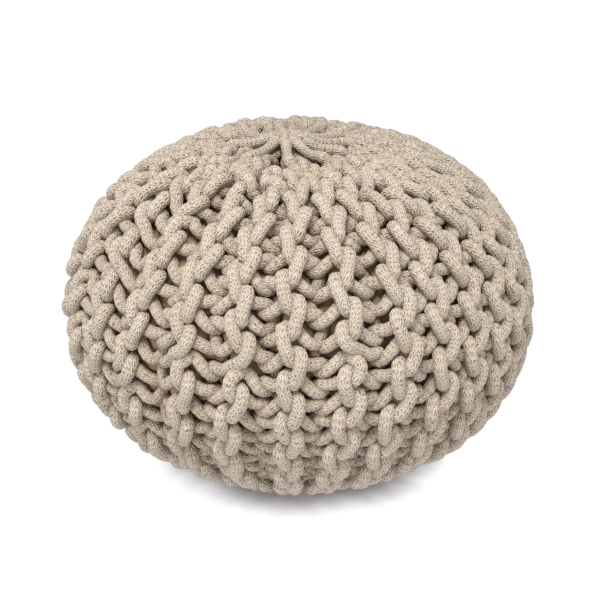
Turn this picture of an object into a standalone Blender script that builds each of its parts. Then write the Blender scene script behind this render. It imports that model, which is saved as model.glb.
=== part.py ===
"""A round knitted pouf: a garter-stitch cord cover over a filled bag.

Metres, +Z up, with the origin at the centre of the base. The front of the pouf faces -Y.
The knit was worked flat, joined into a tube and gathered at both ends, so its ridges run
from the top gather, over the side, to the gather underneath.
"""

import math

import bmesh
import bpy
import numpy as np

# Outer form, to the tops of the ridges
OUTER_RADIUS = 0.250
EQUATOR_HEIGHT = 0.162
CROWN_RISE = 0.200
CROWN_FULLNESS = 2.22
FOOT_FULLNESS = 1.92
CONTACT_RADIUS = 0.115
EDGE_SOFTNESS = 0.030

# Slow unevenness of the stuffed form, largest at the equator
OVAL_SWELL = 0.0020
FOUR_SWELL = 0.0012
OVAL_TURN = math.radians(35)
FOUR_TURN = math.radians(10)

# The top gather sits a little to the left of the middle
TOP_GATHER_SHIFT = -0.013
TOP_GATHER_REACH = 0.170

# Knit
RIDGES = 30
STITCHES = 15
RIDGE_STRETCH = 0.24
STRETCH_TURN = math.radians(68)
FRONT_RIDGE = math.radians(-0.7)
FOOT_TWIST = -0.05
TWIST_START = 0.28
TWIST_END = 0.45
STITCH_STRETCH = 0.010
RIDGE_HEIGHT = 0.0140
PRESSED_HEIGHT = 0.0040
PRESS_REACH = 0.060
GATHER_REACH = 0.100
SHELL_THICKNESS = 0.0130
RIDGE_HALF_WIDTH = 0.28
CREST_ZIGZAG = 0.13
EDGE_ZIGZAG = 0.04
GATHER_RADIUS = 0.025
FIRST_GAP_STITCH = 2
LAST_GAP_STITCH = 11
GAP_HALF_HEIGHT = 0.125

# Bag
SIDE_GAP = 0.0030
SEAT_GAP = 0.0003
BAG_STEPS = 60
BAG_PROFILE_POINTS = 19

COLUMNS_PER_RIDGE = 3
STEP = 0.001
TAU = 2 * math.pi


def smoothstep(x):
    """0 below 0, 1 above 1, and a soft step between."""
    x = min(1.0, max(0.0, x))
    return x * x * (3 - 2 * x)


def raw_outline():
    """Radius and height of the form's side outline, from the top to the middle of the base."""
    angle = np.linspace(0, math.pi / 2, 600)
    crown_r = OUTER_RADIUS * np.cos(angle) ** (2 / CROWN_FULLNESS)
    crown_z = EQUATOR_HEIGHT + CROWN_RISE * np.sin(angle) ** (2 / CROWN_FULLNESS)
    share = (1 - (CONTACT_RADIUS / OUTER_RADIUS) ** FOOT_FULLNESS) ** (1 / FOOT_FULLNESS)
    foot_drop = EQUATOR_HEIGHT / share
    foot_r = OUTER_RADIUS * np.cos(angle) ** (2 / FOOT_FULLNESS)
    foot_z = EQUATOR_HEIGHT - foot_drop * np.sin(angle) ** (2 / FOOT_FULLNESS)
    side = foot_z > 0
    r = np.concatenate([crown_r[::-1], foot_r[side][1:], [CONTACT_RADIUS, 0]])
    z = np.concatenate([crown_z[::-1], foot_z[side][1:], [0, 0]])
    return r, z


def softened(values, mirrored_sign):
    """A running mean along the outline, carried past both ends as in a mirror."""
    reach = int(EDGE_SOFTNESS / STEP / 2)
    head = mirrored_sign * values[reach:0:-1]
    tail = mirrored_sign * values[-2:-reach - 2:-1]
    padded = np.concatenate([head, values, tail])
    kernel = np.ones(2 * reach + 1) / (2 * reach + 1)
    return np.convolve(padded, kernel, mode="valid")


def outline():
    """Evenly spaced points along the softened outline, with outward normals."""
    r, z = raw_outline()
    way = np.concatenate([[0], np.cumsum(np.hypot(np.diff(r), np.diff(z)))])
    even = np.arange(0, way[-1], STEP)
    r, z = np.interp(even, way, r), np.interp(even, way, z)
    r, z = softened(r, -1), softened(z, 1)
    z = z - z[-1]
    way = np.concatenate([[0], np.cumsum(np.hypot(np.diff(r), np.diff(z)))])
    normal_r, normal_z = -np.gradient(z, way), np.gradient(r, way)
    size = np.hypot(normal_r, normal_z)
    return way, r, z, normal_r / size, normal_z / size


WAY, RADIUS, HEIGHT, NORMAL_R, NORMAL_Z = outline()
LENGTH = WAY[-1]
CONTACT_WAY = LENGTH - CONTACT_RADIUS


def swell(azimuth, height):
    """How far the stuffed form stands out of a true turned one, most at half its height."""
    share = min(1.0, max(0.0, height / HEIGHT[0]))
    middle = 4 * share * (1 - share)
    oval = OVAL_SWELL * math.sin(2 * azimuth + OVAL_TURN)
    four = FOUR_SWELL * math.sin(4 * azimuth + FOUR_TURN)
    return middle * (oval + four)


def place(azimuth, way, depth):
    """The point at an azimuth from the front, a way down from the top, and a depth inside the form."""
    r, z = np.interp(way, WAY, RADIUS), np.interp(way, WAY, HEIGHT)
    normal_r, normal_z = np.interp(way, WAY, NORMAL_R), np.interp(way, WAY, NORMAL_Z)
    r, z = r - depth * normal_r, z - depth * normal_z
    r = r + swell(azimuth, z)
    return np.array([r * math.sin(azimuth), -r * math.cos(azimuth), z])


def with_gather_shift(point, way):
    """Slides a point of the crown sideways on the form, most at the gather."""
    share = 1 - smoothstep(way / TOP_GATHER_REACH)
    if share == 0:
        return point
    x = point[0] + TOP_GATHER_SHIFT * share
    crown = RADIUS[: np.argmax(RADIUS)]
    top = HEIGHT[: len(crown)]
    drop = np.interp(math.hypot(x, point[1]), crown, top) - np.interp(math.hypot(*point[:2]), crown, top)
    return np.array([x, point[1], point[2] + drop])


def stretched_azimuth(turn):
    """The knit is stretched wider to the left of the front, and pushed closer on the right."""
    stretch = math.sin(turn + STRETCH_TURN) - math.sin(STRETCH_TURN)
    return turn + FRONT_RIDGE + RIDGE_STRETCH * stretch


def foot_twist(way):
    """Low down, the ridges lean a little round to the left."""
    return FOOT_TWIST * smoothstep((way - TWIST_START) / (TWIST_END - TWIST_START))


def stitch_way(stitch):
    """How far down from the top gather a place lies that is given in stitches."""
    share = stitch / STITCHES
    return share * LENGTH + STITCH_STRETCH * math.sin(math.pi * share)


def ridge_height(way):
    """Ridges close up towards both gathers, and are pressed flat under the pouf."""
    r = np.interp(way, WAY, RADIUS)
    pressed = smoothstep((way - CONTACT_WAY) / PRESS_REACH + 1)
    full = RIDGE_HEIGHT * smoothstep((r - GATHER_RADIUS) / GATHER_REACH)
    flat = PRESSED_HEIGHT * smoothstep((r - GATHER_RADIUS) / GATHER_RADIUS)
    return full * (1 - pressed) + flat * pressed


def knit_lines():
    """Each line round the cover: where its edges and its crest lie in stitches, and the crest's lean."""
    first = {"edge": None, "crest": None, "lean": 0, "way": GATHER_RADIUS}
    last = {"edge": None, "crest": None, "lean": 0, "way": LENGTH - GATHER_RADIUS}
    lines = [first]
    for stitch in range(1, STITCHES - 1):
        upper, lower = stitch + 0.5 - GAP_HALF_HEIGHT, stitch + 0.5 + GAP_HALF_HEIGHT
        lines.append({"edge": upper, "crest": stitch + 0.5 - 3 * GAP_HALF_HEIGHT, "lean": -1, "way": None})
        lines.append({"edge": lower, "crest": lower, "lean": 1, "way": None})
    return lines + [last]


def is_gap(line, column):
    """True for the face between two ridges, in each stitch that is open enough to see the bag."""
    stitch = (line + 1) // 2
    between_ridges = column % COLUMNS_PER_RIDGE == COLUMNS_PER_RIDGE - 1
    return between_ridges and line % 2 == 1 and FIRST_GAP_STITCH <= stitch <= LAST_GAP_STITCH


def knit_point(lines, line, column):
    """A point of the knit at the foot of the ridges, and how far its crest is raised."""
    ridge, part = divmod(column, COLUMNS_PER_RIDGE)
    row = lines[line]
    on_crest = part == 1
    side = (part - 1) * RIDGE_HALF_WIDTH
    lean = row["lean"] * (CREST_ZIGZAG if on_crest else EDGE_ZIGZAG)
    azimuth = stretched_azimuth((ridge + side + lean) * TAU / RIDGES)
    way = row["way"]
    if way is None:
        way = stitch_way(row["crest"] if on_crest else row["edge"])
    azimuth = azimuth + foot_twist(way)
    base = with_gather_shift(place(azimuth, way, ridge_height(way)), way)
    crest = with_gather_shift(place(azimuth, way, 0), way)
    return base, crest - base if on_crest else np.zeros(3)


def cloth_material(name, colour, roughness):
    """Undyed cloth: matt, with the colour that shows in daylight."""
    material = bpy.data.materials.new(name)
    material.use_nodes = True
    shader = material.node_tree.nodes["Principled BSDF"]
    shader.inputs["Base Color"].default_value = (*colour, 1)
    shader.inputs["Roughness"].default_value = roughness
    shader.inputs["Metallic"].default_value = 0
    return material


def add_object(name, mesh, material, collection):
    made = bpy.data.objects.new(name, mesh)
    mesh.materials.append(material)
    collection.objects.link(made)
    return made


def cover_sheet(lines):
    """The knit as an open surface at the foot of its ridges, gaps left out, with each point's raise."""
    columns = RIDGES * COLUMNS_PER_RIDGE
    bands = len(lines) - 1
    sheet = bmesh.new()
    raises = [sheet.verts.layers.float.new("raise_" + axis) for axis in "xyz"]
    bmesh.ops.create_grid(sheet, x_segments=columns, y_segments=bands, size=1)
    spots = {v: (round((1 - v.co.y) / 2 * bands), round((v.co.x + 1) / 2 * columns)) for v in sheet.verts}
    gaps = []
    for face in sheet.faces:
        line = min(spots[v][0] for v in face.verts)
        column = min(spots[v][1] for v in face.verts)
        if is_gap(line, column):
            gaps.append(face)
    bmesh.ops.delete(sheet, geom=gaps, context="FACES")
    ends = {0: [], bands: []}
    for vert, (line, column) in spots.items():
        base, raised = knit_point(lines, line, column % columns)
        vert.co = base
        for layer, value in zip(raises, raised):
            vert[layer] = value
        if line in ends:
            ends[line].append(vert)
    bmesh.ops.remove_doubles(sheet, verts=sheet.verts[:], dist=1e-6)
    for verts in ends.values():
        ring = {v for v in verts if v.is_valid}
        edges = [e for e in sheet.edges if e.is_boundary and ring.issuperset(e.verts)]
        bmesh.ops.contextual_create(sheet, geom=edges)
    bmesh.ops.recalc_face_normals(sheet, faces=sheet.faces[:])
    return sheet


def knit_cover(material, collection):
    """The cover: a wall with its gaps cut through, and the crests of its ridges raised."""
    sheet = cover_sheet(knit_lines())
    mesh = bpy.data.meshes.new("knit_cover_sheet")
    sheet.to_mesh(mesh)
    sheet.free()
    outer_points = len(mesh.vertices)
    cover = add_object("knit_cover", mesh, material, collection)
    wall = cover.modifiers.new("wall", "SOLIDIFY")
    wall.thickness = SHELL_THICKNESS
    wall.offset = -1
    graph = bpy.context.evaluated_depsgraph_get()
    walled = bpy.data.meshes.new_from_object(cover.evaluated_get(graph))
    cover.modifiers.clear()
    cover.data = walled
    raises = [walled.attributes["raise_" + axis].data for axis in "xyz"]
    for index in range(outer_points):
        vert = walled.vertices[index]
        for axis in range(3):
            vert.co[axis] += raises[axis][index].value
    for axis in "xyz":
        walled.attributes.remove(walled.attributes["raise_" + axis])
    bpy.data.meshes.remove(mesh)
    return cover


def bag_profile():
    """The filled bag's side outline, from its top to the middle of its flat seat on the knit."""
    seat = PRESSED_HEIGHT + SHELL_THICKNESS + SEAT_GAP
    points = []
    for way in np.linspace(0, LENGTH, BAG_PROFILE_POINTS):
        depth = ridge_height(way) + SHELL_THICKNESS + SIDE_GAP
        r = np.interp(way, WAY, RADIUS) - depth * np.interp(way, WAY, NORMAL_R)
        z = np.interp(way, WAY, HEIGHT) - depth * np.interp(way, WAY, NORMAL_Z)
        points.append((max(r, 0), 0, max(z, seat)))
    points[0] = (0, 0, points[0][2])
    points[-1] = (0, 0, seat)
    return points


def inner_bag(material, collection):
    """The filled bag that shows through the gaps: one stuffed solid, turned, then swelled with the form."""
    mesh = bpy.data.meshes.new("inner_bag_profile")
    profile = bag_profile()
    mesh.from_pydata(profile, [(i, i + 1) for i in range(len(profile) - 1)], [])
    bag = add_object("inner_bag", mesh, material, collection)
    turn = bag.modifiers.new("turn", "SCREW")
    turn.steps = turn.render_steps = BAG_STEPS
    turn.use_merge_vertices = True
    turn.merge_threshold = 1e-5
    graph = bpy.context.evaluated_depsgraph_get()
    turned = bpy.data.meshes.new_from_object(bag.evaluated_get(graph))
    bag.modifiers.clear()
    bag.data = turned
    bpy.data.meshes.remove(mesh)
    for vert in turned.vertices:
        x, y, z = vert.co
        r = math.hypot(x, y)
        if r > 0:
            vert.co *= 1 + swell(math.atan2(x, -y), z) / r
            vert.co.z = z
    return bag


def main():
    for thing in list(bpy.data.objects):
        bpy.data.objects.remove(thing)
    pouf = bpy.data.collections.new("knitted_pouf")
    bpy.context.scene.collection.children.link(pouf)
    cotton = cloth_material("undyed_cotton_cord", (0.50, 0.41, 0.32), 0.95)
    calico = cloth_material("undyed_calico", (0.58, 0.52, 0.45), 0.90)
    inner_bag(calico, pouf)
    knit_cover(cotton, pouf)


main()
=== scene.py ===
"""A round knitted pouf, dressed for a picture: the cover is one long cotton cord, knitted in
garter stitch and gathered at both ends, over a filled bag.

Metres, +Z up, with the origin at the centre of the base. The front of the pouf faces -Y.
"""
import math

import bmesh
import bpy
import numpy as np
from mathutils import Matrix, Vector, kdtree


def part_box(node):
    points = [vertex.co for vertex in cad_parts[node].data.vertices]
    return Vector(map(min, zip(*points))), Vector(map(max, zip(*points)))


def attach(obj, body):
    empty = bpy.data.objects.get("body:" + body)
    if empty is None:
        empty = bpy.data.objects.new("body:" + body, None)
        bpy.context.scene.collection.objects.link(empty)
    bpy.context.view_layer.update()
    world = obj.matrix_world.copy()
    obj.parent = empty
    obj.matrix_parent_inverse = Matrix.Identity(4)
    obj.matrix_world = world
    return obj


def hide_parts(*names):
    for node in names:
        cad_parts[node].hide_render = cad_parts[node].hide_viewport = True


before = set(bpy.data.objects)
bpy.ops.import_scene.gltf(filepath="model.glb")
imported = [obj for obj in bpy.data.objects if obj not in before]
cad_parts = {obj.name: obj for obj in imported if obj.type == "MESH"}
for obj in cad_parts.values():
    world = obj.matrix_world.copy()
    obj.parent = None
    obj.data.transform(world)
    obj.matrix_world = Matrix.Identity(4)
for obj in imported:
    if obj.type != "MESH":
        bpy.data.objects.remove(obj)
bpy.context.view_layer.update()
KNIT_LOW, KNIT_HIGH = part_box("knit_cover")

# Outer form, to the tops of the ridges
SURPLUS = 0.0005
OUTER_RADIUS = (KNIT_HIGH[0] - KNIT_LOW[0] + KNIT_HIGH[1] - KNIT_LOW[1]) / 4 + SURPLUS
TOTAL_HEIGHT = KNIT_HIGH[2] - KNIT_LOW[2]
EQUATOR_SHARE = 0.448
CROWN_FULLNESS = 2.22
FOOT_FULLNESS = 1.92
CONTACT_RADIUS = 0.115
EDGE_SOFTNESS = 0.030
OVAL_SWELL = 0.0020
FOUR_SWELL = 0.0012
OVAL_TURN = math.radians(35)
FOUR_TURN = math.radians(10)

# Knit: two rows make one ridge
ROWS = 60
STITCHES = 15

# Ridges are spread unevenly and lean low down, as measured on the front
RIDGE_STRETCH = 0.24
STRETCH_TURN = math.radians(68)
FRONT_RIDGE = math.radians(-0.7)
FOOT_TWIST = -0.05
TWIST_START = 0.28
TWIST_END = 0.45
STITCH_STRETCH = 0.010

# One loop: how wide and long it is, and how far out its parts lie
FURROW_SHARPNESS = 1.3
CORD = 0.0136
STROKE_GAP = 0.0180
GAP_SHARE = 0.45
NARROWEST_RIDGE = 0.0120
OPEN_BULGE = 0.0100
DRAWN_BULGE = 0.0066
STROKE_RISE = 0.0095
TUNNEL_RISE = -0.0030
LEG_RISE = -0.0015
BACK_RISE = -0.0130
DIVE_START = 0.35
DIVE_END = 0.90
OUTWARD = 0.0025
SAG = 0.38
LEG_LEAN = 0.0045
STROKE_LEAN = 0.0042
BAG_PUSH = 0.0075
BULGE_LIMIT = 0.24

# Unevenness, from stitch to stitch and over a few ridges
UNEVEN_WAY = 0.0010
UNEVEN_ACROSS = 0.0008
UNEVEN_DEPTH = 0.0008
RIDGE_SWAY = 0.0020
RIDGE_SWAY_LENGTH = 0.040
DRIFT_WAVES = 7
DRIFT_AROUND = (2, 14)
DRIFT_DOWN = (0.12, 0.55)
DRIFT_WAY = 0.0040
DRIFT_ACROSS = 0.0026
LEAST_WAY = 0.010
TIGHTENING = 0.94
LOOP_VARIATION = 0.07

# Gathers: where the ridges end, how deep the shorter ones tuck, and how the cord straightens
TOP_GATHER_SHIFT = -0.013
TOP_GATHER_REACH = 0.170
TIPS = (0.014, 0.036, 0.062)
TUCK_DEPTHS = (0.0, 0.014, 0.020)
TUCK_STARTS = (0.0, 0.032, 0.064)
TUCK_LENGTH = 0.024
TIP_REACH = 2.5
SPOKE_START = 0.045
SPOKE_END = 0.085
SPOKE_RISE = 0.0090
SPOKE_WAVE = 0.0012
UNDER_RISE = -0.0040
GATHER_REACH = 0.125
GATHER_SINK = 0.011
CROWN_START = 0.050
CROWN_END = 0.200
FOOT_START = 0.46
FOOT_END = 0.53
FOOT_INWARD = 0.0015
CROWN_SETTLE = 0.0045
CROWN_LEAN = 0.4

# Crossed strokes that draw each gather shut
CLOSING_HEADINGS = (math.radians(75), math.radians(-10))
CLOSING_REACH = 0.015
CLOSING_SINK = 0.007
CLOSING_ARCH = 0.005
CLOSING_THICKNESS = 0.0095
CLOSING_POINTS = 15

# Settling of the cord
POINTS_PER_STITCH = 16
SETTLE_ROUNDS = 6
SETTLE_STEPS = 16
SMOOTHING = 0.05
SPAN_PULL = 0.25
PUSH_SHARE = 0.5
PAIR_REACH = 1.5
NEIGHBOURS = 3
SQUEEZE = 0.82
SIDE_HOLD = 0.05
GATHER_HOLD = 0.18
HOLD_START = 0.060
HOLD_END = 0.120
LEG_THINNING = 0.10
TIP_THINNING = 0.14
TIP_THINNING_END = 0.110
CORD_SIDES = 12
CORD_PIECES = 4

# Depths between which painted shade makes the cord's colour browner and darker, deep in the knit
PAINTED_DEPTH_SHADE_START = 0.006
PAINTED_DEPTH_SHADE_END = 0.026

# The filled bag
BAG_TIP_SINK = 0.026
BAG_TOP_REACH = 0.11
BAG_BASE_REACH = 0.08
BAG_RINGS = 161
BAG_STEPS = 300
BAG_CLEARANCE = 0.0008

OUTLINE_POINTS = 600
STEP = 0.001
TAU = 2 * math.pi
SEED = 11


def smoothstep(x):
    x = np.clip(x, 0, 1)
    return x * x * (3 - 2 * x)


def softened(values, mirrored_sign):
    """A running mean along the outline, carried past both ends as in a mirror."""
    reach = int(EDGE_SOFTNESS / STEP / 2)
    head = mirrored_sign * values[reach:0:-1]
    tail = mirrored_sign * values[-2:-reach - 2:-1]
    kernel = np.ones(2 * reach + 1) / (2 * reach + 1)
    return np.convolve(np.concatenate([head, values, tail]), kernel, mode="valid")


def outline():
    """Evenly spaced points down the form's side, from the top gather to the middle of the base."""
    equator = EQUATOR_SHARE * TOTAL_HEIGHT
    angle = np.linspace(0, math.pi / 2, OUTLINE_POINTS)
    crown_r = OUTER_RADIUS * np.cos(angle) ** (2 / CROWN_FULLNESS)
    crown_z = equator + (TOTAL_HEIGHT - equator) * np.sin(angle) ** (2 / CROWN_FULLNESS)
    share = (1 - (CONTACT_RADIUS / OUTER_RADIUS) ** FOOT_FULLNESS) ** (1 / FOOT_FULLNESS)
    foot_r = OUTER_RADIUS * np.cos(angle) ** (2 / FOOT_FULLNESS)
    foot_z = equator - equator / share * np.sin(angle) ** (2 / FOOT_FULLNESS)
    side = foot_z > 0
    r = np.concatenate([crown_r[::-1], foot_r[side][1:], [CONTACT_RADIUS, 0]])
    z = np.concatenate([crown_z[::-1], foot_z[side][1:], [0, 0]])
    way = np.concatenate([[0], np.cumsum(np.hypot(np.diff(r), np.diff(z)))])
    even = np.arange(0, way[-1], STEP)
    r, z = softened(np.interp(even, way, r), -1), softened(np.interp(even, way, z), 1)
    z = (z - z[-1]) * TOTAL_HEIGHT / (z[0] - z[-1])
    way = np.concatenate([[0], np.cumsum(np.hypot(np.diff(r), np.diff(z)))])
    normal_r, normal_z = -np.gradient(z, way), np.gradient(r, way)
    size = np.hypot(normal_r, normal_z)
    return way, r, z, normal_r / size, normal_z / size


WAY, RADIUS, HEIGHT, NORMAL_R, NORMAL_Z = outline()
LENGTH = WAY[-1]
CONTACT_SHARE = 1 - (CONTACT_RADIUS / OUTER_RADIUS) ** FOOT_FULLNESS
FOOT_HALF_HEIGHT = EQUATOR_SHARE * TOTAL_HEIGHT / CONTACT_SHARE ** (1 / FOOT_FULLNESS)


def depth_inside(points):
    """How far inside the outer form points lie, close enough to grade the painted shade deep in the knit.
    """
    equator = EQUATOR_SHARE * TOTAL_HEIGHT
    rise = points[:, 2] - equator
    radius = np.hypot(points[:, 0], points[:, 1])
    above = rise > 0
    fullness = np.where(above, CROWN_FULLNESS, FOOT_FULLNESS)
    half_height = np.where(above, TOTAL_HEIGHT - equator, FOOT_HALF_HEIGHT)
    share = (radius / OUTER_RADIUS) ** fullness + (np.abs(rise) / half_height) ** fullness
    return (share ** (-1 / fullness) - 1) * np.hypot(radius, rise)


def swell(azimuth, height):
    share = np.clip(height / TOTAL_HEIGHT, 0, 1)
    oval = OVAL_SWELL * np.sin(2 * azimuth + OVAL_TURN)
    four = FOUR_SWELL * np.sin(4 * azimuth + FOUR_TURN)
    return 4 * share * (1 - share) * (oval + four)


def place(azimuth, way, depth):
    """Points at azimuths from the front, ways down from the top gather, and depths inside the form."""
    r = np.interp(way, WAY, RADIUS) - depth * np.interp(way, WAY, NORMAL_R)
    z = np.interp(way, WAY, HEIGHT) - depth * np.interp(way, WAY, NORMAL_Z)
    r = r + swell(azimuth, z)
    x, y = r * np.sin(azimuth), -r * np.cos(azimuth)
    share = 1 - smoothstep(way / TOP_GATHER_REACH)
    moved = x + TOP_GATHER_SHIFT * share
    widest = np.argmax(RADIUS)
    crown, top = RADIUS[:widest], HEIGHT[:widest]
    drop = np.interp(np.hypot(moved, y), crown, top) - np.interp(np.hypot(x, y), crown, top)
    return np.stack([moved, y, z + drop * (share > 0)], axis=-1)


def stretched_azimuth(turn):
    """The knit is stretched wider to the left of the front, and pushed closer on the right."""
    stretch = np.sin(turn + STRETCH_TURN) - math.sin(STRETCH_TURN)
    return turn + FRONT_RIDGE + RIDGE_STRETCH * stretch


def foot_twist(way):
    """Low down, the ridges lean a little round to the left."""
    return FOOT_TWIST * smoothstep((way - TWIST_START) / (TWIST_END - TWIST_START))


def stitch_way(stitch):
    """How far down from the top gather a place lies that is given in stitches."""
    share = stitch / STITCHES
    return share * LENGTH + STITCH_STRETCH * np.sin(math.pi * share)


def uneven(rng, shape, size):
    """Smooth random numbers along each row of a table, one draw for every stitch."""
    rows, count = shape
    draws = rng.normal(0, size, (rows, STITCHES + 2))
    at = np.linspace(0, STITCHES, count)
    return np.array([np.interp(at, np.arange(-1, STITCHES + 1) + 0.5, draw) for draw in draws])


def drift(rng, row, stitch):
    """A slow wandering, alike for loops that hold each other, a few stitches and ridges long."""
    total = np.zeros(stitch.shape)
    for _ in range(DRIFT_WAVES):
        around, down = rng.integers(*DRIFT_AROUND), rng.uniform(*DRIFT_DOWN)
        phase, way = rng.uniform(0, TAU), rng.choice([-1, 1])
        total += np.sin(around * row * TAU / ROWS + way * down * stitch * TAU / 2 + phase)
    return total / math.sqrt(DRIFT_WAVES / 2)


def loop_rise(turn):
    """How far out the cord lies round one loop: a stroke in front at 0, an arc behind at pi."""
    ahead = np.cos(turn)
    between = TUNNEL_RISE + (LEG_RISE - TUNNEL_RISE) * smoothstep((1 - ahead) / 2)
    in_front = smoothstep((ahead - DIVE_START) / (DIVE_END - DIVE_START))
    behind = smoothstep((-ahead - DIVE_START) / (DIVE_END - DIVE_START))
    return between + (STROKE_RISE - between) * in_front + (BACK_RISE - between) * behind


def knitted_rows(bulge):
    """The cord's middle line in every row, before it settles: one array of rows and points."""
    rng = np.random.default_rng(SEED)
    count = STITCHES * POINTS_PER_STITCH + 1
    turn = np.linspace(0, STITCHES * TAU, count)[None, :].repeat(ROWS, 0)
    row = np.arange(ROWS)[:, None].repeat(count, 1)
    odd = row % 2
    ridge = row // 2
    stitch = turn / TAU

    # Only some ridges reach the middle of a gather, and the others stop short and tuck under them
    kind = ridge % len(TIPS)
    tip = np.array(TIPS)[kind]
    near_top = 1 - smoothstep(stitch / TIP_REACH)
    near_base = 1 - smoothstep((STITCHES - stitch) / TIP_REACH)
    calm = 1 - np.maximum(near_top, near_base)
    way = stitch_way(stitch) + tip * (near_top - near_base)
    stitch_size = np.gradient(way, axis=1) * POINTS_PER_STITCH

    # Loops are wider than their necks, and drawn straight at the gathers
    spoke = 1 - smoothstep((np.minimum(way, LENGTH - way) - SPOKE_START) / (SPOKE_END - SPOKE_START))
    way = way + (1 - spoke) * np.minimum(bulge, BULGE_LIMIT * stitch_size) * np.sin(2 * turn)
    way = way + uneven(rng, way.shape, UNEVEN_WAY) + DRIFT_WAY * calm * drift(rng, row, stitch)
    way = np.clip(way, LEAST_WAY, LENGTH - LEAST_WAY)
    to_gather = np.minimum(way, LENGTH - way)

    radius = np.interp(way, WAY, RADIUS)
    row_pitch = TAU * radius / ROWS
    stroke_gap = np.clip(GAP_SHARE * (2 * row_pitch - NARROWEST_RIDGE), 0, STROKE_GAP)
    lateral = -(row_pitch + stroke_gap) / 2 * np.cos(turn) + calm * STROKE_LEAN * np.sin(turn)
    lateral = (1 - spoke) * lateral + spoke * row_pitch * (0.5 - odd)
    lateral = lateral + uneven(rng, way.shape, UNEVEN_ACROSS)

    # Between the ridges the knit hangs lower, and the lower leg of each pair lies in front
    in_furrow = (1 - np.cos(math.pi * (row - 0.5 + lateral / row_pitch))) / 2
    steep = np.clip(np.interp(way, WAY, NORMAL_R), 0, 1)
    sag = SAG * (1 - spoke) * stitch_size * steep * in_furrow ** FURROW_SHARPNESS
    way = np.clip(way + sag, LEAST_WAY, LENGTH - LEAST_WAY)
    lean = LEG_LEAN * np.sin(2 * turn) * in_furrow

    wander = rng.uniform(0, TAU, ROWS // 2)[ridge]
    sway = RIDGE_SWAY * np.sin(way / RIDGE_SWAY_LENGTH + wander)
    lateral = lateral + calm * (sway + DRIFT_ACROSS * drift(rng, row, stitch))
    azimuth = stretched_azimuth((row - 0.5) * TAU / ROWS) + foot_twist(way) + lateral / radius

    # Near the gathers there is room for the strokes only, and the rest of each loop goes under them.
    # Right at them, one row of each ridge makes a straight spoke, and the other row lies under it
    own_turn = np.where(odd == 1, turn, turn + math.pi)
    behind = 1 - smoothstep((np.cos(own_turn) - DIVE_START) / (DIVE_END - DIVE_START))
    crowded = 1 - smoothstep(to_gather / GATHER_REACH)
    rise = loop_rise(own_turn) + lean - GATHER_SINK * crowded * behind
    straight = np.where(odd == 1, SPOKE_RISE + SPOKE_WAVE * np.cos(own_turn), UNDER_RISE)
    rise = (1 - spoke) * rise + spoke * straight
    under = 1 - smoothstep((to_gather - np.array(TUCK_STARTS)[kind]) / TUCK_LENGTH)
    outward = OUTWARD * smoothstep((to_gather - CROWN_START) / (CROWN_END - CROWN_START))
    outward = outward - (OUTWARD + FOOT_INWARD) * smoothstep((way - FOOT_START) / (FOOT_END - FOOT_START))
    past_crown = smoothstep((way - CROWN_START) / (CROWN_END - CROWN_START))
    on_crown = smoothstep(way / CROWN_START) * (1 - past_crown)
    outward = outward - CROWN_SETTLE * on_crown * (1 + CROWN_LEAN * np.sin(azimuth))
    depth = CORD / 2 + STROKE_RISE - outward - rise + np.array(TUCK_DEPTHS)[kind] * under
    depth = depth + uneven(rng, way.shape, UNEVEN_DEPTH)
    return place(azimuth, way, depth)


def turned_back(last, first, heading):
    """Three points of a half circle that joins the end of one row to the start of the next."""
    middle, half = (last + first) / 2, (last - first) / 2
    heading = heading / np.linalg.norm(heading) * np.linalg.norm(half)
    angles = np.radians([45, 90, 135])[:, None]
    return middle + np.cos(angles) * half + np.sin(angles) * heading


def one_cord(rows):
    """All rows as one closed line: up one row and down the next, turned back at the gathers."""
    pieces = []
    for number in range(ROWS):
        line = rows[number] if number % 2 else rows[number][::-1]
        following = rows[(number + 1) % ROWS]
        following = following if (number + 1) % 2 else following[::-1]
        heading = line[-1] - line[-3] + following[0] - following[2]
        pieces.append(line)
        pieces.append(turned_back(line[-1], following[0], heading))
    return np.concatenate(pieces)


def cord_thickness():
    """The cord's thickness at each point: drawn thinner at the gathers and where it crosses the furrows."""
    turn = np.linspace(0, STITCHES * TAU, STITCHES * POINTS_PER_STITCH + 1)
    way = stitch_way(turn / TAU)
    at_gather = 1 - smoothstep(np.minimum(way, LENGTH - way) / TIP_THINNING_END)
    pieces = []
    for number in range(ROWS):
        in_front = np.cos(turn) if number % 2 else -np.cos(turn[::-1])
        thinner = LEG_THINNING * smoothstep(0.5 - in_front) + TIP_THINNING * at_gather
        pieces.append(CORD * (1 - thinner))
        pieces.append(np.full(3, CORD * (1 - TIP_THINNING)))
    return np.concatenate(pieces)


def near_pairs(points):
    """Pairs of points that could touch, leaving out neighbours along the cord."""
    tree = kdtree.KDTree(len(points))
    for index, point in enumerate(points):
        tree.insert(point, index)
    tree.balance()
    pairs = []
    for index, point in enumerate(points):
        for _, other, _ in tree.find_range(point, PAIR_REACH * CORD):
            if index < other and NEIGHBOURS < other - index < len(points) - NEIGHBOURS:
                pairs.append((index, other))
    return np.array(pairs).T


def pushed(points, pairs, thickness):
    """Moves points apart that are closer than the squeezed cord allows."""
    one, two = pairs
    least = SQUEEZE * (thickness[one] + thickness[two]) / 2
    gap = points[one] - points[two]
    distance = np.linalg.norm(gap, axis=1)
    close = distance < least
    one, two, gap, distance, least = one[close], two[close], gap[close], distance[close], least[close]
    push = gap * (PUSH_SHARE * (least - distance) / np.maximum(distance, 1e-6))[:, None]
    count = len(points)
    moved = np.zeros_like(points)
    for axis in range(3):
        moved[:, axis] = np.bincount(one, push[:, axis], count) - np.bincount(two, push[:, axis], count)
    share = np.maximum(np.bincount(one, minlength=count) + np.bincount(two, minlength=count), 1)
    return points + moved / np.sqrt(share)[:, None]


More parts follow.
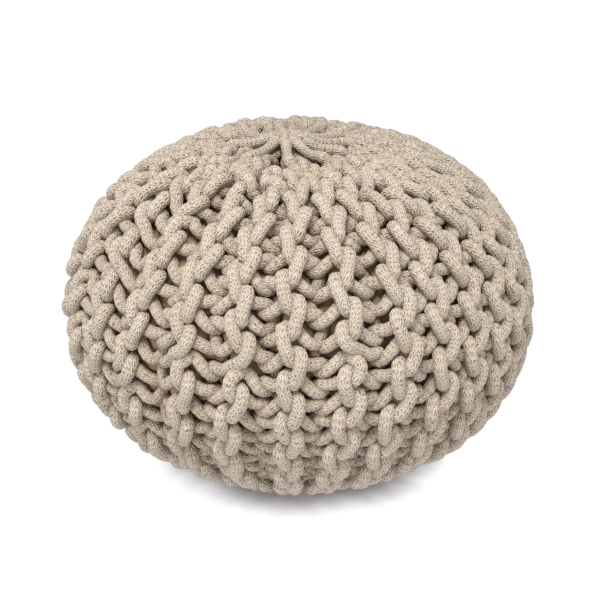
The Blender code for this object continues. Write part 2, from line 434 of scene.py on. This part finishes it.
def settled(points, drawn, thickness):
    """Lets the cord settle: loops push each other apart, and it keeps its length and bends softly."""
    rng = np.random.default_rng(SEED + 1)
    span = np.linalg.norm(np.roll(drawn, -1, 0) - drawn, axis=1)
    knots = np.arange(0, len(points) + POINTS_PER_STITCH, POINTS_PER_STITCH / 2)
    size = np.interp(np.arange(len(points)), knots, rng.normal(TIGHTENING, LOOP_VARIATION, len(knots)))
    span = span * size
    radius = np.hypot(drawn[:, 0], drawn[:, 1])
    near_middle = 1 - smoothstep((radius - HOLD_START) / (HOLD_END - HOLD_START))
    hold = (SIDE_HOLD + GATHER_HOLD * near_middle)[:, None]
    for _ in range(SETTLE_ROUNDS):
        pairs = near_pairs(points)
        for _ in range(SETTLE_STEPS):
            between = (np.roll(points, 1, 0) + np.roll(points, -1, 0)) / 2
            points = points + SMOOTHING * (between - points)
            points = points + hold * (drawn - points)
            step = np.roll(points, -1, 0) - points
            length = np.linalg.norm(step, axis=1)
            pull = step * (SPAN_PULL * (length - span) / length)[:, None]
            points = points + pull - np.roll(pull, 1, 0)
            points = pushed(points, pairs, thickness)
            points[:, 2] = np.maximum(points[:, 2], CORD / 2)
    return points


def with_midpoints(points):
    """Twice as many points or values on a closed line, the new ones on a smooth curve through the old."""
    ahead, far, back = np.roll(points, -1, 0), np.roll(points, -2, 0), np.roll(points, 1, 0)
    middle = (9 * (points + ahead) - far - back) / 16
    return np.stack([points, middle], axis=1).reshape(2 * len(points), -1)


def srgb(hex_colour):
    """A colour as the screen shows it, turned into the linear values that shaders take."""
    parts = [int(hex_colour[i:i + 2], 16) / 255 for i in (1, 3, 5)]
    return tuple(p / 12.92 if p <= 0.04045 else ((p + 0.055) / 1.055) ** 2.4 for p in parts) + (1.0,)


MATH = "ShaderNodeMath"
MIX = "ShaderNodeMix"
SPREAD = "ShaderNodeMapRange"
NOISE = "ShaderNodeTexNoise"


def add_node(tree, kind, inputs=(), **settings):
    """Adds a node, with its settings, and each input linked to a socket or set to a value."""
    made = tree.nodes.new(kind)
    for name, value in settings.items():
        setattr(made, name, value)
    for key, value in dict(inputs).items():
        if isinstance(value, bpy.types.NodeSocket):
            tree.links.new(value, made.inputs[key])
        else:
            made.inputs[key].default_value = value
    return made


def new_material(name):
    material = bpy.data.materials.new(name)
    material.use_nodes = True
    return material, material.node_tree, material.node_tree.nodes["Principled BSDF"]


# Undyed cotton tube cord, knitted by machine from thick yarn: slanting yarns side by side in columns along
# the cord, matt and a little hairy, cream with brown flecks of seed husk; painted shade makes it browner
# down in the knit
TUBE_COLUMNS = 6
TUBE_PITCH = 0.0046
TUBE_SLANT = 1.2
COLUMN_GROOVE = 5.0
CORD_TONES = ("#E6DACA", "#D9CCBA")
# Painted shade: a browner, darker colour for the cord deep in the knit, where little light reaches
PAINTED_DEPTH_SHADE_TONE = "#AE9072"
PAINTED_DEPTH_SHADE_SHARE = 0.55
# Painted shade: a darker colour in the grooves between the yarns
PAINTED_GROOVE_SHADE_TONE = "#94795E"
PAINTED_GROOVE_SHADE_SHARE = 0.7
HUSK_TONE = "#5C4632"
HUSK_SHARE = 0.9
GLINT_TONE = "#F2EDE6"
GLINT_SHARE = 0.5
FIBRE_SCALE = 900.0
HUSK_SCALE = 480.0
PATCH_SCALE = 28.0
FIBRE_RELIEF = 1.6
YARN_RELIEF = 0.0006


def cotton_cord_material():
    material, tree, shader = new_material("undyed_cotton_knitted_tube_cord")
    uv = add_node(tree, "ShaderNodeUVMap", uv_map="cord").outputs[0]
    parts = add_node(tree, "ShaderNodeSeparateXYZ", {0: uv})
    along, around = parts.outputs[0], parts.outputs[1]
    column = add_node(tree, MATH, {0: around, 1: TUBE_COLUMNS}, operation="MULTIPLY").outputs[0]
    column = add_node(tree, MATH, {0: column}, operation="FRACT").outputs[0]
    column = add_node(tree, MATH, {0: column, 1: 0.5}, operation="SUBTRACT").outputs[0]
    column = add_node(tree, MATH, {0: column}, operation="ABSOLUTE").outputs[0]
    turns = add_node(tree, MATH, {0: along, 1: 1 / TUBE_PITCH}, operation="MULTIPLY").outputs[0]
    turns = {0: column, 1: 2 * TUBE_SLANT, 2: turns}
    turns = add_node(tree, MATH, turns, operation="MULTIPLY_ADD").outputs[0]
    wave = add_node(tree, MATH, {0: turns, 1: TAU}, operation="MULTIPLY").outputs[0]
    wave = add_node(tree, MATH, {0: wave}, operation="SINE").outputs[0]
    groove = add_node(tree, MATH, {0: column, 1: 0.25}, operation="SUBTRACT").outputs[0]
    groove = add_node(tree, MATH, {0: groove}, operation="ABSOLUTE").outputs[0]
    strand = {0: groove, 1: -COLUMN_GROOVE, 2: wave}
    strand = add_node(tree, MATH, strand, operation="MULTIPLY_ADD").outputs[0]

    place_on = add_node(tree, "ShaderNodeTexCoord").outputs["Object"]
    fibres = {"Vector": place_on, "Scale": FIBRE_SCALE, "Detail": 3.0, "Roughness": 0.7}
    fibres = add_node(tree, NOISE, fibres).outputs[0]
    husks = {"Vector": place_on, "Scale": HUSK_SCALE, "Detail": 1.0, "Roughness": 0.5}
    husks = add_node(tree, NOISE, husks).outputs[0]
    patches = {"Vector": place_on, "Scale": PATCH_SCALE, "Detail": 2.0, "Roughness": 0.5}
    patches = add_node(tree, NOISE, patches).outputs[0]

    pale, tan = srgb(CORD_TONES[0]), srgb(CORD_TONES[1])
    tone = add_node(tree, SPREAD, {0: patches, 1: 0.3, 2: 0.7, 3: 0.0, 4: 1.0}).outputs[0]
    colour = add_node(tree, MIX, {0: tone, 6: pale, 7: tan}, data_type="RGBA").outputs[2]
    # Painted shade: the colour is mixed browner and darker where the cord lies deep inside the outer form
    painted_depth_shade = add_node(tree, "ShaderNodeAttribute", attribute_name="painted_depth_shade").outputs["Fac"]
    painted_depth_shade = add_node(tree, MATH, {0: painted_depth_shade, 1: PAINTED_DEPTH_SHADE_SHARE}, operation="MULTIPLY").outputs[0]
    # Painted shade in the grooves between the yarn columns and in the troughs of the slanting yarns
    depth = add_node(tree, SPREAD, {0: strand, 1: -2.0, 2: 0.4, 3: PAINTED_GROOVE_SHADE_SHARE, 4: 0.0}).outputs[0]
    husk = add_node(tree, SPREAD, {0: husks, 1: 0.63, 2: 0.68, 3: 0.0, 4: HUSK_SHARE}).outputs[0]
    glint = add_node(tree, SPREAD, {0: fibres, 1: 0.58, 2: 0.70, 3: 0.0, 4: GLINT_SHARE}).outputs[0]
    layers = [(painted_depth_shade, PAINTED_DEPTH_SHADE_TONE), (depth, PAINTED_GROOVE_SHADE_TONE), (husk, HUSK_TONE), (glint, GLINT_TONE)]
    for share, over in layers:
        colour = add_node(tree, MIX, {0: share, 6: colour, 7: srgb(over)}, data_type="RGBA").outputs[2]
    tree.links.new(colour, shader.inputs["Base Color"])

    height = {0: fibres, 1: FIBRE_RELIEF, 2: strand}
    height = add_node(tree, MATH, height, operation="MULTIPLY_ADD").outputs[0]
    relief = {"Height": height, "Distance": YARN_RELIEF, "Strength": 1.0}
    bump = add_node(tree, "ShaderNodeBump", relief)
    tree.links.new(bump.outputs[0], shader.inputs["Normal"])
    shader.inputs["Roughness"].default_value = 0.92
    shader.inputs["Specular IOR Level"].default_value = 0.25
    shader.inputs["Sheen Weight"].default_value = 0.25
    shader.inputs["Sheen Roughness"].default_value = 0.6
    return material


# Undyed calico, plain-woven from thread about 0.6 mm thick and drawn at 1.1 mm so that it shows: matt, and
# darker than the cord, because it lies in its shade
CALICO_THREAD = 0.0011
CALICO_TONES = ("#A8927A", "#937E67")


def calico_material():
    material, tree, shader = new_material("undyed_calico_plain_weave")
    place_on = add_node(tree, "ShaderNodeTexCoord").outputs["Object"]
    cells = {"Vector": place_on, "Scale": 1 / CALICO_THREAD}
    weave = add_node(tree, "ShaderNodeTexVoronoi", cells, distance="CHEBYCHEV").outputs[0]
    patches = add_node(tree, NOISE, {"Vector": place_on, "Scale": 25.0, "Detail": 3.0}).outputs[0]
    pale, tan = srgb(CALICO_TONES[0]), srgb(CALICO_TONES[1])
    colour = add_node(tree, MIX, {0: patches, 6: pale, 7: tan}, data_type="RGBA").outputs[2]
    tree.links.new(colour, shader.inputs["Base Color"])
    bump = add_node(tree, "ShaderNodeBump", {"Height": weave, "Distance": 0.0002, "Strength": 0.6})
    tree.links.new(bump.outputs[0], shader.inputs["Normal"])
    shader.inputs["Roughness"].default_value = 0.9
    return material


def cord_object(name, points, thickness, along, material):
    """A stretch of the cord: a round tube on a curve, with a UV map in metres along and turns around."""
    curve = bpy.data.curves.new(name, "CURVE")
    curve.dimensions = "3D"
    curve.bevel_depth = 0.5
    curve.bevel_resolution = (CORD_SIDES - 4) // 2
    curve.use_fill_caps = True
    spline = curve.splines.new("POLY")
    spline.points.add(len(points) - 1)
    spline.points.foreach_set("co", np.column_stack([points, np.ones(len(points))]).ravel())
    spline.points.foreach_set("radius", thickness)
    route = bpy.data.objects.new(name + "_route", curve)
    bpy.context.scene.collection.objects.link(route)
    mesh = bpy.data.meshes.new_from_object(route.evaluated_get(bpy.context.evaluated_depsgraph_get()))
    bpy.data.objects.remove(route)
    mesh.name = name
    corners = np.empty(len(mesh.loops), dtype=np.int32)
    mesh.loops.foreach_get("vertex_index", corners)
    ring, side = np.divmod(corners, CORD_SIDES)
    u, v = along[np.minimum(ring, len(along) - 1)], side / CORD_SIDES
    starts = np.empty(len(mesh.polygons), dtype=np.int32)
    totals = np.empty(len(mesh.polygons), dtype=np.int32)
    mesh.polygons.foreach_get("loop_start", starts)
    mesh.polygons.foreach_get("loop_total", totals)
    quads = starts[totals == 4]
    corner_sides = side[quads[:, None] + np.arange(4)]
    over_seam = (corner_sides.max(1) - corner_sides.min(1)) > CORD_SIDES / 2
    for offset in range(4):
        at = quads[over_seam] + offset
        v[at] = np.where(side[at] == 0, 1.0, v[at])
    layer = mesh.uv_layers.new(name="cord")
    layer.data.foreach_set("uv", np.column_stack([u, v]).ravel())
    spots = np.empty(3 * len(mesh.vertices), dtype=np.float32)
    mesh.vertices.foreach_get("co", spots)
    # Mask for the painted shade: how deep each point lies inside the knit
    deep = depth_inside(spots.reshape(-1, 3).astype(float))
    painted_depth_shade = smoothstep((deep - PAINTED_DEPTH_SHADE_START) / (PAINTED_DEPTH_SHADE_END - PAINTED_DEPTH_SHADE_START))
    mesh.attributes.new("painted_depth_shade", "FLOAT", "POINT").data.foreach_set("value", painted_depth_shade.astype(np.float32))
    mesh.materials.append(material)
    mesh.polygons.foreach_set("use_smooth", np.ones(len(mesh.polygons), dtype=bool))
    made = bpy.data.objects.new(name, mesh)
    bpy.context.scene.collection.objects.link(made)
    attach(made, "root")
    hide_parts("knit_cover")


def knitted_cover(material):
    """Knits the cover, in a few stretches that follow each other, and gives back the cord's line."""
    thickness = cord_thickness()
    wide, drawn = one_cord(knitted_rows(OPEN_BULGE)), one_cord(knitted_rows(DRAWN_BULGE))
    points = settled(wide, drawn, thickness)
    points, thickness = with_midpoints(points), with_midpoints(thickness).ravel()
    points[:, 2] = np.maximum(points[:, 2], thickness / 2)
    along = np.concatenate([[0], np.cumsum(np.linalg.norm(np.diff(points, axis=0), axis=1))])
    ends = np.linspace(0, len(points) - 1, CORD_PIECES + 1).astype(int)
    for number, (start, end) in enumerate(zip(ends[:-1], ends[1:])):
        part = slice(start, end + 1)
        cord_object(f"knitted_cord_{number + 1}", points[part], thickness[part], along[part], material)
    return points


def closing_strokes(material):
    """Two short strokes of cord, crossed over the middle of each gather, that draw it shut."""
    rest = {"top": 0.0, "base": LENGTH}
    for end, start in rest.items():
        for number, heading in enumerate(CLOSING_HEADINGS):
            reach = np.linspace(-CLOSING_REACH, CLOSING_REACH, CLOSING_POINTS)
            way = np.abs(start - np.abs(reach))
            azimuth = np.where(reach < 0, heading + math.pi, heading)
            arch = 1 - (reach / CLOSING_REACH) ** 2
            depth = CORD / 2 + CLOSING_SINK - CLOSING_ARCH * (number + arch)
            points = place(azimuth, way, depth)
            points[:, 2] = np.maximum(points[:, 2], CLOSING_THICKNESS / 2)
            along = np.concatenate([[0], np.cumsum(np.linalg.norm(np.diff(points, axis=0), axis=1))])
            thickness = np.full(len(points), CLOSING_THICKNESS)
            cord_object(f"closing_stroke_{end}_{number + 1}", points, thickness, along, material)


def pressed_in(points, normals, cord_line):
    """How far the cord presses in each of the bag's points that it lies against."""
    tree = kdtree.KDTree(len(cord_line))
    for index, point in enumerate(cord_line):
        tree.insert(point, index)
    tree.balance()
    reach = CORD / 2 + BAG_CLEARANCE
    sunk = np.zeros(len(points))
    for number, (point, normal) in enumerate(zip(points, normals)):
        for centre, _, _ in tree.find_range(point - 0.5 * CORD * normal, 1.6 * CORD):
            gap = np.subtract(centre, point)
            deep = -gap @ normal
            aside = gap @ gap - deep * deep
            if aside < reach * reach and deep > -reach:
                sunk[number] = max(sunk[number], deep + math.sqrt(reach * reach - aside))
    return sunk


def filled_bag(material, cord_line):
    """The filled bag: its side outline, spun round, pushing out between the loops and dented by them."""
    depth = CORD / 2 + STROKE_RISE + BAG_PUSH
    shape = bmesh.new()
    ways = np.linspace(0, LENGTH, BAG_RINGS)
    tips = np.exp(-((ways / BAG_TOP_REACH) ** 2)) + np.exp(-(((LENGTH - ways) / BAG_BASE_REACH) ** 2))
    inside = depth + BAG_TIP_SINK * tips
    r = np.interp(ways, WAY, RADIUS) - inside * np.interp(ways, WAY, NORMAL_R)
    z = np.interp(ways, WAY, HEIGHT) - inside * np.interp(ways, WAY, NORMAL_Z)
    r[0] = r[-1] = 0
    verts = [shape.verts.new((0, -max(a, 0), b)) for a, b in zip(r, z)]
    edges = [shape.edges.new(pair) for pair in zip(verts[:-1], verts[1:])]
    turned = {"cent": (0, 0, 0), "axis": (0, 0, 1), "angle": TAU}
    bmesh.ops.spin(shape, geom=verts + edges, steps=BAG_STEPS, use_merge=True, **turned)
    bmesh.ops.remove_doubles(shape, verts=shape.verts[:], dist=1e-5)
    bmesh.ops.recalc_face_normals(shape, faces=shape.faces[:])
    mesh = bpy.data.meshes.new("filled_bag")
    shape.to_mesh(mesh)
    shape.free()
    points = np.empty(len(mesh.vertices) * 3, dtype=np.float32)
    mesh.vertices.foreach_get("co", points)
    points = points.reshape(-1, 3).astype(float)
    normals = np.array([v.normal for v in mesh.vertices])
    points = points - normals * pressed_in(points, normals, cord_line)[:, None]
    mesh.vertices.foreach_set("co", points.astype(np.float32).ravel())
    mesh.materials.append(material)
    mesh.polygons.foreach_set("use_smooth", np.ones(len(mesh.polygons), dtype=bool))
    bag = bpy.data.objects.new("filled_bag", mesh)
    bpy.context.scene.collection.objects.link(bag)
    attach(bag, "root")
    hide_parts("inner_bag")


# The seamless white floor glows like the backdrop, with a soft mauve shade where the pouf is close to it
FLOOR_SHADE = "#7E7677"
FLOOR_WHITE = "#FFFFFF"
FLOOR_SHADE_REACH = 0.032
WHITE_LEVEL = 1.02
ROOM_LEVEL = 0.38
ROOM_TINT = (1, 0.90, 0.78, 1)


def floor_and_light():
    bpy.ops.mesh.primitive_plane_add(size=40, location=(0, 0, -0.0005))
    floor = bpy.context.object
    floor.name = "studio_floor"
    material, tree, shader = new_material("white_studio_floor")
    tree.nodes.remove(shader)
    reach = {"Distance": FLOOR_SHADE_REACH}
    near = add_node(tree, "ShaderNodeAmbientOcclusion", reach, samples=16).outputs["AO"]
    open_air = add_node(tree, SPREAD, {0: near, 1: 0.15, 2: 0.82}).outputs[0]
    shade = {0: open_air, 6: srgb(FLOOR_SHADE), 7: srgb(FLOOR_WHITE)}
    shade = add_node(tree, MIX, shade, data_type="RGBA").outputs[2]
    glow = {"Color": shade, "Strength": WHITE_LEVEL}
    white = add_node(tree, "ShaderNodeEmission", glow).outputs[0]
    tree.links.new(white, tree.nodes["Material Output"].inputs[0])
    floor.data.materials.append(material)
    world = bpy.data.worlds.new("studio")
    world.use_nodes = True
    around = world.node_tree
    seen = add_node(around, "ShaderNodeLightPath").outputs["Is Camera Ray"]
    level = add_node(around, SPREAD, {0: seen, 3: ROOM_LEVEL, 4: WHITE_LEVEL}).outputs[0]
    tint = {0: seen, 6: ROOM_TINT, 7: srgb(FLOOR_WHITE)}
    tint = add_node(around, MIX, tint, data_type="RGBA").outputs[2]
    around.links.new(tint, around.nodes["Background"].inputs[0])
    around.links.new(level, around.nodes["Background"].inputs[1])
    bpy.context.scene.world = world
    lights = [
        ("softbox_above", (-0.25, -0.9, 2.1), 1.0, 46.0),
        ("softbox_left", (-1.5, -1.5, 0.35), 0.9, 14.0),
        ("softbox_right", (1.6, -1.3, 0.35), 0.9, 11.0),
    ]
    for name, spot, size, power in lights:
        lamp = bpy.data.lights.new(name, "AREA")
        lamp.shape = "DISK"
        lamp.size = size
        lamp.energy = power
        made = bpy.data.objects.new(name, lamp)
        made.location = spot
        towards = Vector((0, 0, 0.15)) - made.location
        made.rotation_euler = towards.to_track_quat("-Z", "Y").to_euler()
        bpy.context.scene.collection.objects.link(made)
    bpy.context.scene.view_settings.view_transform = "Standard"


def photo_camera():
    """The photo's view, fitted to its outline."""
    distance, elevation, aim = 1.8, math.radians(22.5), Vector((0, 0, 0.1735))
    data = bpy.data.cameras.new("photo_camera")
    data.lens = 100.7
    data.sensor_width = 36
    data.shift_x = 1.3 / 600
    camera = bpy.data.objects.new("photo_camera", data)
    back = Vector((0, -math.cos(elevation), math.sin(elevation)))
    camera.location = aim + distance * back
    camera.rotation_euler = (-back).to_track_quat("-Z", "Y").to_euler()
    bpy.context.scene.collection.objects.link(camera)
    bpy.context.scene.camera = camera


photo_camera()
cotton_cord = cotton_cord_material()
settled_line = knitted_cover(cotton_cord)
closing_strokes(cotton_cord)
filled_bag(calico_material(), settled_line)
floor_and_light()
